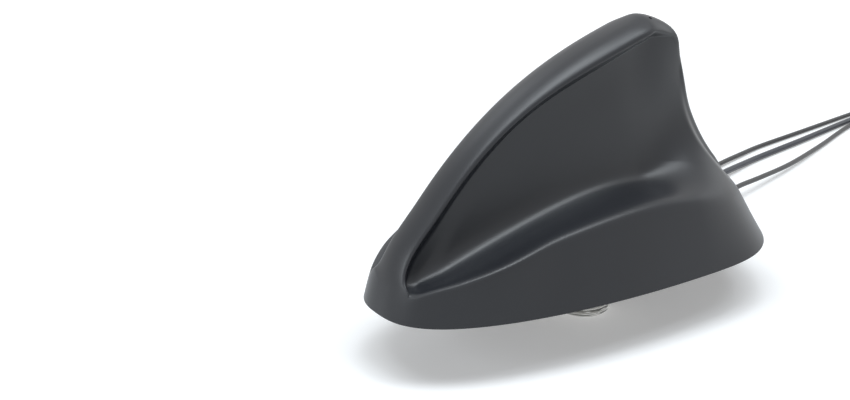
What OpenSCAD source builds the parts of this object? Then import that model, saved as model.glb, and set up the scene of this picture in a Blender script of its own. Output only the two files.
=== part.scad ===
// Combination roof antenna: moulded fin cover on a cast base, with a hollow slotted stud.
// The origin is on the axis of the stud, in the plane of the roof skin. The nose points to -X.

/* [Cover] */
// Length of the cover, nose to tail
cover_len = 146; // [138:1:154]
// Width of the cover at its widest place
cover_w = 67; // [62:1:72]
// Height of the fin above the lower edge of the cover
cover_h = 74.6; // [68:0.2:78]
// Wall thickness of the moulding
wall = 2.0; // [1.6:0.1:2.4]
// Half width of the raised band along the spine
band_half = 5.8; // [5:0.1:7]
// How far the fin's sides are stepped in below the band
band_step = 1.6; // [1:0.1:2.2]
// Slope of the skirt, as sideways travel for each millimetre of height
draft = 0.33; // [0.2:0.01:0.36]
// Bore of the small vent hole at the top of the fin
vent_bore = 0.9; // [0.6:0.1:1.2]

/* [Mounting] */
// Outer diameter of the hollow stud
stud_d = 18; // [16:0.5:20]
// Bore of the stud
stud_bore = 12; // [10:0.5:13]
// Length of the stud below the roof plane
stud_len = 17.5; // [15:0.5:22]
// Width of the slot that lets the cables out sideways
slot_w = 7.6; // [7:0.1:8]
// Width of the clamp nut across its flats
nut_flats = 27; // [24:1:30]
// Height of the clamp nut
nut_h = 5; // [4:0.5:6]
// Diameter of the toothed washer
washer_d = 30; // [26:1:34]

/* [Base] */
// Height of the seal under the base
seal_h = 2.0; // [1.5:0.1:3]
// Thickness of the floor of the base
floor_t = 3.0; // [2:0.1:4]
// Gap between the roof plane and the lower edge of the cover
rim_gap = 0.8; // [0.4:0.1:1.2]

/* [Cables] */
// Diameter of the radio cable
radio_d = 2.0; // [1.8:0.1:2.4]
// Diameter of the positioning cable
gps_d = 2.6; // [2.2:0.1:2.8]
// Diameter of the phone cable
phone_d = 2.0; // [1.8:0.1:2.4]

/* [Hidden] */

$fn = 48;
e = 0.01;

// The cover's form is drawn about the middle of its length, at these sizes, and scaled to the ones above.
form_len = 146;
form_w = 67;
form_h = 74.6;
scale_x = cover_len / form_len;
scale_y = cover_w / form_w;
scale_z = cover_h / form_h;
// The stud stands a little behind the middle of the cover
mid_x = -4;

// Side outline as cubic curves: nose, spine, tip, rear edge and tail
nose_curve = [[-73, 0], [-69, 18.2], [-64.4, 20.2], [-55.6, 30.2]];
spine_curve = [[-55.6, 30.2], [-34.9, 53.6], [-9.2, 69], [20.1, 74.6]];
tip_curve = [[20.1, 74.6], [22.2, 75], [34.5, 71.4], [36.9, 64.6]];
rear_curve = [[36.9, 64.6], [40.9, 52.8], [43.6, 38.5], [57, 24.7]];
tail_curve = [[57, 24.7], [63.8, 17.6], [65.2, 14.9], [73, 0]];
// The spine carried on past the rounded tip, for the lower edge of the band
band_curve = [[20.1, 74.6], [22.2, 75], [35.2, 71.4], [39.7, 67.7]];
// Height of the shoulder: it rises from the nose, runs level and falls to the tail
rise_curve = [[-73, 6], [-50, 16], [-7, 24.8], [12, 23.5]];
fall_curve = [[12, 23.5], [44, 21.2], [42, 16.4], [73, 9.5]];

// Plan outline: two half outlines that meet at the widest place
widest_x = 18;
front_power = [2.0, 2.7];
rear_power = [3.6, 1.45];

// How softly the foot of the fin runs into the shelf, and the rounding of the fin's rear edge
valley_soft = 15;
edge_round = 2.6;

function clamp(t) = max(0, min(1, t));
function ease(t) = let (c = clamp(t)) c * c * (3 - 2 * c);
function soft_min(a, b, r) = (a + b - sqrt((a - b) * (a - b) + r * r)) / 2;
function soft_max(a, b, r) = (a + b + sqrt((a - b) * (a - b) + r * r)) / 2;
function curve(p, t) =
    let (s = 1 - t) s * s * s * p[0] + 3 * s * s * t * p[1] + 3 * s * t * t * p[2] + t * t * t * p[3];
function curve_points(p, n) = [for (i = [0:n - 1]) curve(p, i / n)];
function swap(list) = [for (p = list) [p[1], p[0]]];

// Where on the tip's curve the fin is highest
peak = 0.05;
front_line = concat(curve_points(nose_curve, 14), curve_points(spine_curve, 16),
    [for (i = [0:4]) curve(tip_curve, peak * i / 4)]);
back_line = concat([for (i = [0:7]) curve(tip_curve, peak + (1 - peak) * i / 8)], curve_points(rear_curve, 16),
    curve_points(tail_curve, 9), [tail_curve[3]]);
crest_line = concat(curve_points(nose_curve, 14), curve_points(spine_curve, 16), curve_points(band_curve, 8),
    [band_curve[3]]);
shoulder_line = concat(curve_points(rise_curve, 16), curve_points(fall_curve, 16), [fall_curve[3]]);
front_of = swap(front_line);
back_of = swap(back_line);

function crest_z(x) = lookup(x, crest_line);
function crest_cos(x) = let (s = (crest_z(x + 1.5) - crest_z(x - 1.5)) / 3) 1 / sqrt(1 + s * s);
function shoulder_z(x) = lookup(x, shoulder_line);
function slope_at(x) = draft - 0.16 * ease((-30 - x) / 35) + 0.25 * ease((x - 25) / 40);

// Half width of the skirt's surface at a length and a height
function skirt(x, z) =
    let (nose = lookup(z, front_of), tail = lookup(z, back_of), m = max(nose + 1, min(tail - 1, widest_x)),
        front = clamp((m - x) / (m - nose)), rear = clamp((x - m) / (tail - m)),
        part = x < m ? pow(1 - pow(front, front_power[0]), 1 / front_power[1])
            : pow(1 - pow(rear, rear_power[0]), 1 / rear_power[1]))
    (form_w / 2 - slope_at(x) * z) * part;

// Depth of the band's lower edge under the spine, and how far its crown has fallen at its edge
function deep(x) = 2.4 + 0.7 * ease((x + 66) / 14) + 2.6 * ease((x + 25) / 45) - 2 * ease((x - 20) / 12);
function sag(x) = 0.9 + 1.8 * ease((x + 35) / 50);
function below(x, z) = (crest_z(x) - z) * crest_cos(x);

// Half width of the fin: flat sides, thinner to the rear edge, and the arched band along the spine
function fin(x, z) =
    let (ahead = lookup(z, back_of) - x, high = ease((x + 25) / 45),
        side = (band_half - band_step + 0.9 * ease((crest_z(x) - z) / 60)) * (1 - 0.4 * ease(1 - ahead / 34)),
        band = (band_half + 5.5 * exp(-max(0, z - 8.5) / 2) + 0.8 * high) * (1 - 0.3 * ease(1 - ahead / 16)),
        arch = band * sqrt(max(0, below(x, z)) / sag(x)),
        on_band = ease((deep(x) + 0.9 - below(x, z)) / 0.9) * ease(ahead / 7),
        edge = pow(1 - pow(1 - clamp(ahead / edge_round), 2.2), 1 / 2.2))
    max(0, soft_min(arch, side + (band - side) * on_band, 1.2)) * edge;

// Half width of the whole form: the fin stands on a shelf inside the skirt, with a soft corner
function half_width(x, z, top) =
    let (sharp = clamp((top - z) / 10), foot = shoulder_z(x), wide = skirt(x, foot),
        slope = soft_min(0.12 + 0.5 * ease((x - 28) / 26), max(0.1, (top - foot) / max(1, wide)), 0.1),
        upper = soft_max(wide + (foot - z) / slope, fin(x, z), valley_soft * sharp))
    max(0.02 * (top - z), soft_min(skirt(x, z), upper, (2 + 3.5 * ease((x + 62) / 70)) * sharp));

// The shelf is dished towards the foot of the fin, less so to the rear
function dished(x, y, z) =
    let (drop = 5.4 * (1 - 0.62 * ease((x + 50) / 60)) * (1 - ease((x - 30) / 25)),
        inward = 1 - clamp(y / max(1, skirt(x, shoulder_z(x)))), up = clamp((z - shoulder_z(x)) / 14))
    z - drop * ease((below(x, z) - deep(x)) / 2.5) * ease(1.25 * inward) * ease(1 - up);

// Heights of the points of one section: skirt, shoulder, valley, side, step and band
shelf_levels = [-3, -1.2, -0.4, 0.1, 0.6, 1.2, 2.1, 3.6, 6];
side_levels = [0, 0.3, 0.6, 0.88];
function levels(x, top) =
    let (s = soft_min(shoulder_z(x), 0.75 * top, 1), k = min(1, (top - s) / 20), c = crest_cos(x), d = deep(x),
        g = sag(x), rim = min(crest_z(x) - (d + 0.9) / c, top - 8 * ease((x - 24) / 12) * k),
        foot = max(s + 9 * k, rim), last = [g + 1.2, g + 0.5, g, 0.5 * g, 0.15 * g, 0],
        under = concat([d + 0.9, d, (d + g + 1.2) / 2], last))
    concat([0, s * 0.5], [for (v = shelf_levels) s + v * k],
        [for (v = side_levels) s + 8 * k + (foot - s - 8 * k) * v],
        [for (b = under) foot + (top - foot) * (1 - b / (d + 0.9))]);

// Stations along the side outline, from one share of the nose's curve to one of the tail's
function stations(first, last) = concat(
    [for (i = [0:11]) curve(nose_curve, first + (1 - first) * pow(i / 12, 1.5))],
    [for (i = [0:17]) curve(spine_curve, i / 18)], [for (i = [0:8]) curve(tip_curve, i / 9)],
    [for (i = [0:11]) curve(rear_curve, i / 12)],
    [for (i = [0:9]) curve(tail_curve, last * (1 - pow(1 - i / 9, 1.5)))]);

function placed(p) = [p[0] * scale_x + mid_x, p[1] * scale_y, p[2] * scale_z + rim_gap];
function mirrored(half) = [for (i = [len(half) - 2:-1:0]) [half[i][0], -half[i][1], half[i][2]]];
function section(half) = concat(half, mirrored(half));

// One half of a section of the outside, from the lower edge up to the spine
function outer_half(st) = [for (z = levels(st[0], st[1]))
    let (y = z >= st[1] ? 0 : half_width(st[0], z, st[1])) placed([st[0], -y, dished(st[0], y, z)])];

// The inside follows the outside at the thickness of the wall
function inner_levels(x, top) =
    let (s = soft_min(shoulder_z(x), wall + 0.7 * (top - wall), 1), k = min(1, (top - s) / 20),
        foot = max(s + 9 * k, top - 7 * k))
    concat([wall, (s + wall) / 2], [for (v = [-1.2, 0.2, 1.2, 3, 7]) s + v * k], [foot, (foot + top) / 2, top]);
function moved_in(x) = x - wall * (2 * ease((x + 45) / 75) - 1);
function thinned(y) = y > 2 * wall ? y - wall : y * y / (4 * wall);
function inner_half(st) = [for (z = inner_levels(st[0], st[1]))
    let (y = z >= st[1] ? 0 : half_width(st[0], z, st[1]))
        placed([moved_in(st[0]), -thinned(y), z <= wall ? 0 : dished(st[0], y, z) - wall])];

// Faces between two rows of n points each, from a and from b
function strip(a, b, n, out) = [for (j = [0:n - 2]) each out
    ? [[a + j, a + j + 1, b + j], [a + j + 1, b + j + 1, b + j]]
    : [[a + j, b + j, a + j + 1], [a + j + 1, b + j, b + j + 1]]];
function fan(tip, a, n, out) = [for (j = [0:n - 2]) out ? [tip, a + j + 1, a + j] : [tip, a + j, a + j + 1]];

// A shell closed along its lower edge: an outer and an inner skin, each with a point at both ends
module shell(outer, inner, out_ends, in_ends) {
    n = len(outer[0]);
    k = len(inner[0]);
    m = len(outer);
    base = m * n;
    tips = base + m * k;
    points = concat([for (r = outer) each r], [for (r = inner) each r], out_ends, in_ends);
    skins = concat([for (i = [0:m - 2]) each strip(i * n, (i + 1) * n, n, true)],
        [for (i = [0:m - 2]) each strip(base + i * k, base + (i + 1) * k, k, false)],
        fan(tips, 0, n, true), fan(tips + 1, (m - 1) * n, n, false),
        fan(tips + 2, base, k, false), fan(tips + 3, base + (m - 1) * k, k, true));
    rim = [for (i = [0:m - 2]) each [
        [i * n, (i + 1) * n, base + i * k], [(i + 1) * n, base + (i + 1) * k, base + i * k],
        [i * n + n - 1, base + i * k + k - 1, (i + 1) * n + n - 1],
        [(i + 1) * n + n - 1, base + i * k + k - 1, base + (i + 1) * k + k - 1]]];
    caps = [[tips, 0, base], [tips, base, tips + 2], [tips, base + k - 1, n - 1], [tips, tips + 2, base + k - 1],
        [tips + 1, base + (m - 1) * k, (m - 1) * n], [tips + 1, tips + 3, base + (m - 1) * k],
        [tips + 1, (m - 1) * n + n - 1, base + m * k - 1], [tips + 1, base + m * k - 1, tips + 3]];
    polyhedron(points, concat(skins, rim, caps), convexity = 8);
}

// Screws through the base go into four bosses inside the cover
screw_at = [[-36, -15], [-36, 15], [40, -16.5], [40, 16.5]];
boss_d = 6.6;
screw_d = 3;
function roof_z(x) = shoulder_z((x - mid_x) / scale_x) * scale_z + rim_gap - 1.3;

module cover() color([0.22, 0.22, 0.23]) {
    first = 0.006;
    last = 0.997;
    in_first = 0.06;
    in_last = 0.93;
    outer = [for (st = stations(first, last)) section(outer_half(st))];
    inner = [for (st = stations(in_first, in_last)) section(inner_half(st))];
    nose = curve(nose_curve, in_first);
    tail = curve(tail_curve, in_last);
    difference() {
        union() {
            shell(outer, inner, [placed([-form_len / 2, 0, 0]), placed([form_len / 2, 0, 0])],
                [placed([moved_in(nose[0]) - 0.3, 0, 0]), placed([moved_in(tail[0]) + 0.3, 0, 0])]);
            for (p = screw_at)
                translate([p[0], p[1], floor_z])
                    cylinder(d = boss_d, h = roof_z(p[0]) - floor_z);
        }
        for (p = screw_at)
            translate([p[0], p[1], floor_z - 1])
                cylinder(d = screw_d, h = 8);
        translate([vent_x, vent_y, vent_z])
            cylinder(d = vent_bore, h = 8, $fn = 24);
    }
}
vent_x = 18.4;
vent_y = -2.5;
vent_z = 68;

// Plan of the inside at a height above the rim, drawn in by a gap and by more than that at the nose
function plan(z, gap, nose) =
    let (a = lookup(z + wall, front_of), b = lookup(z + wall, back_of), n = 22,
        xs = [for (i = [0:n]) (a + b) / 2 - (b - a) / 2 * cos(180 * i / n)],
        near = [for (x = xs) [moved_in(x) * (1 - (gap + (x < 0 ? nose : 0)) / (form_len / 2)) * scale_x + mid_x,
            -thinned(skirt(x, z + wall)) * (1 - gap / (form_w / 2)) * scale_y]])
    concat(near, [for (i = [n - 1:-1:1]) [near[i][0], -near[i][1]]]);

floor_z = seal_h + floor_t;
wall_top = 8.6;
stud_r = stud_d / 2;
flange_flats = 22;
flange_h = 2;
board_z = 8;
board_t = 1.6;
board_top = board_z + board_t;
board_screw_at = [[-30, -10], [-30, 10], [30, -15.5], [30, 15.5]];
board_screw_d = 2.5;
pillar_d = 6;
boss_r = 15;

// Rubber ring between the base and the inside of the cover
module cover_seal() color([0.10, 0.10, 0.11])
    translate([0, 0, floor_z])
        linear_extrude(1.8)
            difference() {
                polygon(plan(6.2, 0.6, 6));
                polygon(plan(6.2, 2, 10));
            }

// Cast base: a floor with a wall round it, ribs, pillars for the board, and the seat of the stud
module base_plate() color([0.62, 0.63, 0.65]) difference() {
    union() {
        translate([0, 0, seal_h])
            linear_extrude(floor_t)
                polygon(plan(4.4, 0.6, 6));
        translate([0, 0, floor_z - e])
            linear_extrude(wall_top - floor_z + e)
                difference() {
                    polygon(plan(6.2, 2, 10));
                    polygon(plan(6.2, 3.6, 12));
                }
        translate([0, 0, 0.2])
            cylinder(r = boss_r, h = seal_h);
        for (p = board_screw_at)
            translate([p[0], p[1], seal_h])
                cylinder(d = pillar_d, h = board_z - seal_h);
        for (s = [-1, 1]) {
            translate([-6, s * (flange_flats / 2 + 0.8) - 0.8, seal_h])
                cube([12, 1.6, floor_t + flange_h]);
            translate([-30, s * 10 - 0.6, seal_h])
                cube([14, 1.2, floor_t + 1.6]);
            translate([16, s * 15.5 - 0.6, seal_h])
                cube([14, 1.2, floor_t + 1.6]);
        }
        translate([-30, -10, seal_h])
            cube([1.2, 20, floor_t + 1.6]);
        translate([29.4, -15.5, seal_h])
            cube([1.2, 31, floor_t + 1.6]);
    }
    translate([0, 0, -1])
        cylinder(r = stud_r, h = 20);
    translate([0, 0, -1])
        cylinder(r = ring_r + ring_d / 2, h = 1 + ring_z + ring_d / 2);
    for (p = board_screw_at)
        translate([p[0], p[1], board_z - 4])
            cylinder(d = board_screw_d, h = 10);
    for (p = screw_at)
        translate([p[0], p[1], 0]) {
            cylinder(d = screw_d, h = 20);
            cylinder(d = 6.4, h = seal_h + 1.4);
        }
}

// Flat rubber seal between the base and the roof, open in the middle
module base_seal() color([0.12, 0.12, 0.13])
    linear_extrude(seal_h)
        difference() {
            polygon(plan(1.4, 1, 4));
            circle(r = boss_r + 1.2);
            for (p = screw_at)
                translate(p)
                    circle(d = 7);
        }

// Hollow stud with a six-sided head, slotted from its free end, with a neck where the cables leave
slot_top = -8.2;
neck_r = stud_r - 0.5;
neck = [-12.9, -8.1];
module stud() color([0.70, 0.70, 0.69]) difference() {
    union() {
        rotate_extrude()
            polygon([[stud_bore / 2, -stud_len], [stud_r - 0.6, -stud_len], [stud_r, -stud_len + 0.6],
                [stud_r, neck[0]], [neck_r, neck[0] + 0.4], [neck_r, neck[1] - 0.4], [stud_r, neck[1]],
                [stud_r, floor_z + 1], [stud_bore / 2, floor_z + 1]]);
        translate([0, 0, floor_z])
            cylinder(d = flange_flats / cos(30), h = flange_h, $fn = 6);
    }
    translate([0, 0, floor_z - 1])
        cylinder(d = stud_bore, h = 5);
    translate([3, -slot_w / 2, -stud_len - 1])
        cube([10, slot_w, stud_len + 1 + slot_top]);
}

// Sealing ring round the stud, in the underside of the base
ring_d = 1.9;
ring_r = stud_r + ring_d / 2;
ring_z = 1.15;
module stud_ring() color([0.08, 0.08, 0.09])
    translate([0, 0, ring_z])
        rotate_extrude()
            translate([ring_r, 0])
                circle(d = ring_d);

// Washer with sharp points that bite into the roof from below
washer_z = -2.6;
module clamp_washer() color([0.66, 0.66, 0.64]) translate([0, 0, washer_z]) difference() {
    union() {
        cylinder(d = washer_d, h = 1.2);
        for (i = [0:9])
            rotate(36 * i)
                translate([washer_d / 2 - 2, 0, 1.2 - e])
                    cylinder(d1 = 2, d2 = 0.3, h = 0.9);
    }
    translate([0, 0, -1])
        cylinder(r = stud_r + 0.2, h = 4);
}

module clamp_nut() color([0.72, 0.71, 0.66]) translate([0, 0, washer_z - nut_h]) difference() {
    intersection() {
        cylinder(d = nut_flats / cos(30), h = nut_h, $fn = 6);
        rotate_extrude()
            polygon([[0, 0], [nut_flats / 2, 0], [nut_flats / 2 + 2.4, 1.2], [nut_flats / 2 + 2.4, nut_h - 1.2],
                [nut_flats / 2, nut_h], [0, nut_h]]);
    }
    translate([0, 0, -1])
        cylinder(r = stud_r, h = nut_h + 2);
}

// Rubber block that fills the top of the slot and holds the three cables
exit_z = -10.5;
lane = 2.45;
module cable_grommet() color([0.09, 0.09, 0.10]) difference() {
    union() {
        translate([4.7, -slot_w / 2, -12.8])
            cube([3.4, slot_w, slot_top + 12.8]);
        intersection() {
            translate([3.4, -4.7, -12.8])
                cube([3, 9.4, slot_top + 12.8]);
            translate([0, 0, -20])
                cylinder(d = stud_bore, h = 20);
        }
    }
    for (c = [[-lane, phone_d], [0, gps_d], [lane, radio_d]])
        translate([0, c[0], exit_z])
            rotate([0, 90, 0])
                cylinder(d = c[1], h = 20);
}

module main_board() color([0.10, 0.30, 0.16]) translate([0, 0, board_z]) linear_extrude(board_t) difference() {
    polygon([[-46, -10], [-44, -12], [-34, -16.4], [-10, -18.5], [28, -19], [40, -16], [42, -14],
        [42, 14], [40, 16], [28, 19], [-10, 18.5], [-34, 16.5], [-44, 12], [-46, 10]]);
    for (p = screw_at)
        translate(p)
            circle(d = boss_d + 1.4);
    for (p = board_screw_at)
        translate(p)
            circle(d = board_screw_d);
    translate([patch_x, 0])
        circle(d = 1);
}

module shield_can() color([0.75, 0.76, 0.78]) translate([-22, -17.2, board_top])
    cube([20, 9, 3.2]);

patch_x = 27;
patch_t = 4;
module patch_ceramic() color([0.80, 0.72, 0.60]) translate([patch_x, 0, board_top]) difference() {
    translate([-12.5, -12.5, 0])
        cube([25, 25, patch_t]);
    translate([0, 0, -1])
        cylinder(d = 1, h = patch_t + 2);
}
module patch_electrode() color([0.84, 0.84, 0.82]) translate([patch_x, 0, board_top + patch_t]) difference() {
    translate([-10.5, -10.5, 0])
        cube([21, 21, 0.2]);
    translate([0, 0, -1])
        cylinder(d = 1, h = 3);
}
module patch_pin() color([0.86, 0.85, 0.80]) {
    translate([patch_x, 0, board_z - 0.6])
        cylinder(d = 1, h = board_t + patch_t + 0.8);
    translate([patch_x, 0, board_top + patch_t + 0.2])
        cylinder(d = 2.2, h = 0.4);
}

// Upright board in the fin, cut to follow the spine, with a window for the coil
fin_t = 1.2;
fin_foot = 11.2;
function spine_in(x) = crest_z((x - mid_x) / scale_x) * scale_z + rim_gap;
fin_front = -28;
fin_line = concat([[fin_front, fin_foot]], [for (x = [fin_front:6:20]) [x, spine_in(x) - 10]],
    [[23, spine_in(20) - 14], [32, 25], [30, 20], [14, 20], [12, fin_foot]]);
coil_x = 8;
coil_z = 34;
coil_len = 14;
module upright(t, points)
    rotate([90, 0, 0])
        translate([0, 0, -t / 2])
            linear_extrude(t)
                polygon(points);
module fin_board() color([0.12, 0.34, 0.20]) difference() {
    upright(fin_t, fin_line);
    translate([coil_x - 2.6, -2, coil_z])
        cube([5.2, 4, coil_len]);
}
module fin_holder() color([0.14, 0.14, 0.15]) {
    translate([fin_front, -5, board_top])
        cube([40, 10, fin_foot - board_top]);
    for (s = [-1, 1])
        translate([fin_front, s * (fin_t / 2 + 0.9) - 0.9, fin_foot - e])
            cube([40, 1.8, 4.8]);
}

// Spring strips from the main board to the upright board
module fin_contacts() color([0.85, 0.66, 0.30])
    for (x = [-22, 4]) {
        translate([x, -8, board_top])
            cube([3, 3, 0.4]);
        translate([x, -5.4, board_top])
            cube([3, 0.4, 6.9]);
        translate([x, -5.4, board_top + 6.5])
            cube([3, 5.4 - fin_t / 2, 0.4]);
    }

// Folded metal cap along the top of the upright board
cap_line = concat([for (x = [-16:6:8]) [x, spine_in(x) - 9.5]], [for (x = [8:-6:-16]) [x, spine_in(x) - 15]]);
module top_load() color([0.82, 0.64, 0.30]) difference() {
    upright(2, cap_line);
    upright(fin_t, fin_line);
}

// Coil between the two ends of the window
coil_turns = 11;
module loading_coil() color([0.80, 0.45, 0.25]) translate([coil_x, 0, coil_z]) rotate_extrude() {
    pitch = (coil_len - 2) / coil_turns;
    polygon(concat([[0, 0], [0.8, 0], [0.8, 1]],
        [for (i = [0:coil_turns * 4 - 1]) [1.5 + 0.35 * sin(90 * i - 90), 1 + pitch * (i + 0.5) / 4]],
        [[0.8, coil_len - 1], [0.8, coil_len], [0, coil_len]]));
}

// Upright sheet element at the front of the fin
module phone_element() color([0.84, 0.67, 0.34]) {
    upright(0.5, [[-43, board_top], [-43, 26], [-39, 32], [-32, 38], [-32, 30], [-37, 25], [-37, board_top]]);
    translate([-43, 0.25 - e, board_top])
        cube([6, 3, 0.5]);
}

module board_screws() color([0.70, 0.70, 0.68])
    for (p = board_screw_at)
        translate([p[0], p[1], board_z - 4]) difference() {
            union() {
                cylinder(d = board_screw_d, h = 4 + board_t);
                translate([0, 0, 4 + board_t])
                    cylinder(d = 4.4, h = 1.5);
            }
            for (a = [0, 90])
                rotate(a)
                    translate([-1.2, -0.25, 4 + board_t + 0.7])
                        cube([2.4, 0.5, 2]);
        }

module cover_screws() color([0.60, 0.60, 0.58])
    for (p = screw_at)
        translate([p[0], p[1], seal_h + 1.4]) difference() {
            union() {
                cylinder(d = screw_d, h = 7.6);
                translate([0, 0, -1.4])
                    cylinder(d = 5.6, h = 1.4);
            }
            for (a = [0, 90])
                rotate(a)
                    translate([-1.5, -0.3, -2])
                        cube([3, 0.6, 1.4]);
        }

// Cables: the centre lines run from the board down the stud, out of its slot and over the ground
ground_z = -stud_len;
function down(y) = [[-3.4, y, board_z], [-3.4, y, 2], [-3.4, y, -4], [-1.5, y, -8.6], [3.1, y, exit_z],
    [9.8, y, exit_z]];
radio_route = concat(down(lane), [[18, 3.2, -10.7], [40, 10.5, -11.8], [62, 24, -13], [84, 41, -14],
    [105, 56, -14.9], [124, 65.6, -15.4], [142, 71.4, -15.7], [159.6, 76, -16.1], [177.4, 80, -16.4],
    [210, 84.2, -16.4], [253.6, 89.9, -16.4], [285, 93.6, -16.4], [312, 97.8, -16.4], [330, 101.7, -15.6],
    [345, 105.4, -13], [351, 106.9, -13]]);
gps_route = concat(down(0), [[18, 0.6, -10.7], [40, 6.6, -11.8], [62, 19.4, -12.8], [83, 35.4, -13.6],
    [102, 48.6, -14.3], [119, 56.6, -14.8], [134.8, 61.4, -15.1], [150, 65.6, -15.8], [164.2, 68.8, -16.1],
    [198, 74.4, -16.1], [243.9, 82.6, -16.1], [272, 86, -16.1], [305, 88.8, -16.1], [326, 90.6, -15.3],
    [342, 92.6, -13], [348, 93.4, -13]]);
phone_route = concat(down(-lane), [[18, -2.2, -10.7], [38, 1.2, -11], [58, 10.6, -11], [78, 22.6, -11.1],
    [97, 32.6, -11.2], [116.2, 39.2, -11.7], [135, 44.3, -13.1], [164.4, 52.6, -15], [199.6, 64.5, -16.2],
    [236.9, 77.3, -16.4], [258, 80.6, -16.4], [290, 80.4, -16.4], [320, 79.4, -15.6], [336, 79.2, -13],
    [342, 79.1, -13]]);

function unit(v) = v / norm(v);
function along(p, i) = unit(p[min(len(p) - 1, i + 1)] - p[max(0, i - 1)]);
// Side directions carried along the route without turning
function sides_of(p, i = 0, last = [0, 1, 0], out = []) = i == len(p) ? out
    : let (t = along(p, i), u = unit(last - (last * t) * t)) sides_of(p, i + 1, u, concat(out, [u]));
function between(p, i, t) =
    let (a = p[max(0, i - 1)], b = p[i], c = p[i + 1], d = p[min(len(p) - 1, i + 2)])
    b + t / 2 * (c - a + t * (2 * a - 5 * b + 4 * c - d + t * (3 * (b - c) + d - a)));
function smoothed(p) = concat([for (i = [0:len(p) - 2]) each [p[i], if (i > 4 && i < len(p) - 3)
    between(p, i, 0.5)]], [p[len(p) - 1]]);

module tube(route, d) {
    p = smoothed(route);
    u = sides_of(p);
    n = 8;
    m = len(p);
    points = [for (i = [0:m - 1]) let (w = cross(along(p, i), u[i]))
        for (j = [0:n - 1]) p[i] + d / 2 * (cos(360 * j / n) * u[i] + sin(360 * j / n) * w)];
    walls = [for (i = [0:m - 2]) for (j = [0:n - 1]) let (k = (j + 1) % n) each [
        [i * n + j, (i + 1) * n + j, i * n + k], [i * n + k, (i + 1) * n + j, (i + 1) * n + k]]];
    polyhedron(points, concat(walls, [[for (j = [0:n - 1]) j]], [[for (j = [n - 1:-1:0]) (m - 1) * n + j]]));
}
module cable_radio() color([0.13, 0.13, 0.14]) tube(radio_route, radio_d);
module cable_gps() color([0.12, 0.14, 0.18]) tube(gps_route, gps_d);
module cable_phone() color([0.13, 0.13, 0.14]) tube(phone_route, phone_d);

// Plugs: a square housing with a round socket, a latch on top and a ferrule for the cable
plug_w = 9;
plug_len = 19;
ferrule_len = 5;
function heading(route) = let (n = len(route), v = route[n - 1] - route[n - 2]) atan2(v[1], v[0]);
module at_end(route) translate(route[len(route) - 1]) rotate(heading(route)) children();
module plug(route, d) at_end(route) difference() {
    union() {
        translate([0, -plug_w / 2, -plug_w / 2])
            cube([plug_len, plug_w, plug_w]);
        translate([-ferrule_len, 0, 0])
            rotate([0, 90, 0])
                cylinder(r = 2.6, h = ferrule_len + e);
        translate([3, -1.6, plug_w / 2 - e])
            cube([11, 3.2, 1.2]);
    }
    translate([-ferrule_len - 1, 0, 0])
        rotate([0, 90, 0])
            cylinder(d = d, h = ferrule_len + 1);
    translate([plug_len - 12, 0, 0])
        rotate([0, 90, 0])
            cylinder(r = 3.3, h = 13);
}
module plug_radio() color([0.16, 0.16, 0.17]) plug(radio_route, radio_d);
module plug_gps() color([0.16, 0.16, 0.17]) plug(gps_route, gps_d);
module plug_phone() color([0.16, 0.16, 0.17]) plug(phone_route, phone_d);
module plug_contacts() color([0.85, 0.70, 0.35])
    for (route = [radio_route, gps_route, phone_route])
        at_end(route) {
            translate([plug_len - 12, 0, 0])
                rotate([0, 90, 0])
                    cylinder(r = 2, h = 2.4);
            translate([plug_len - 10, 0, 0])
                rotate([0, 90, 0])
                    cylinder(r = 0.5, h = 7.5);
        }

cover();
cover_seal();
base_plate();
base_seal();
stud();
stud_ring();
clamp_washer();
clamp_nut();
cable_grommet();
main_board();
shield_can();
patch_ceramic();
patch_electrode();
patch_pin();
fin_board();
fin_holder();
fin_contacts();
top_load();
loading_coil();
phone_element();
board_screws();
cover_screws();
cable_radio();
cable_gps();
cable_phone();
plug_radio();
plug_gps();
plug_phone();
plug_contacts();
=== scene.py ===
"""Dresses a combination roof antenna: fin cover, cast base, slotted stud, boards, cables and plugs."""
import logging
import math
from dataclasses import dataclass, field
from enum import Enum

import bmesh
import bpy
import numpy as np
from mathutils import Matrix


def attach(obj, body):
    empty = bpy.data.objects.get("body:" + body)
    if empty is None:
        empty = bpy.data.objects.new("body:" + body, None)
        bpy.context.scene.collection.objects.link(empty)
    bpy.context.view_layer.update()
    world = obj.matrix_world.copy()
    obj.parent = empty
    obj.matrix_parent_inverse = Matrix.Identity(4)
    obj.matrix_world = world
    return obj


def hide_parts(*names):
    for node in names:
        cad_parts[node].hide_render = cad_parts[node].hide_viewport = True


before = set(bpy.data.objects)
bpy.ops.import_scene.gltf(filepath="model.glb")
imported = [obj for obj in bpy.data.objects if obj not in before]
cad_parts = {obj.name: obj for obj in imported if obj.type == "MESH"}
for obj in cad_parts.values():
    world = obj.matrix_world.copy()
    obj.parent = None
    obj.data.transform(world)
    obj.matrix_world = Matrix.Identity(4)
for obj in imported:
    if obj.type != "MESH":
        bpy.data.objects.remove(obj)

Array = np.ndarray
Object, Material = bpy.types.Object, bpy.types.Material
Socket = bpy.types.NodeSocket
Pair, Triple = tuple[float, float], tuple[float, float, float]
MM = 0.001
DOUBLES = 1e-7
DEGENERATE = 1e-8
IMAGE_WIDTH = 850
CURVE_STEPS = 60
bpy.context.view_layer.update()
GROUND_Z = -17.5
BODY = "root"

log = logging.getLogger("antenna")


# Plain maths

def clamp(t: Array) -> Array:
    """Limits t to the range 0 to 1."""
    return np.clip(t, 0.0, 1.0)


def ease(t: Array) -> Array:
    """Smooth step: 3t squared less 2t cubed, flat at both ends."""
    c = clamp(t)
    return c * c * (3.0 - 2.0 * c)


def step(t: Array, start: float, width: float) -> Array:
    """Smooth step from 0 at a start to 1 after a width; a negative width steps towards lower t."""
    return ease((t - start) / width)


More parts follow.
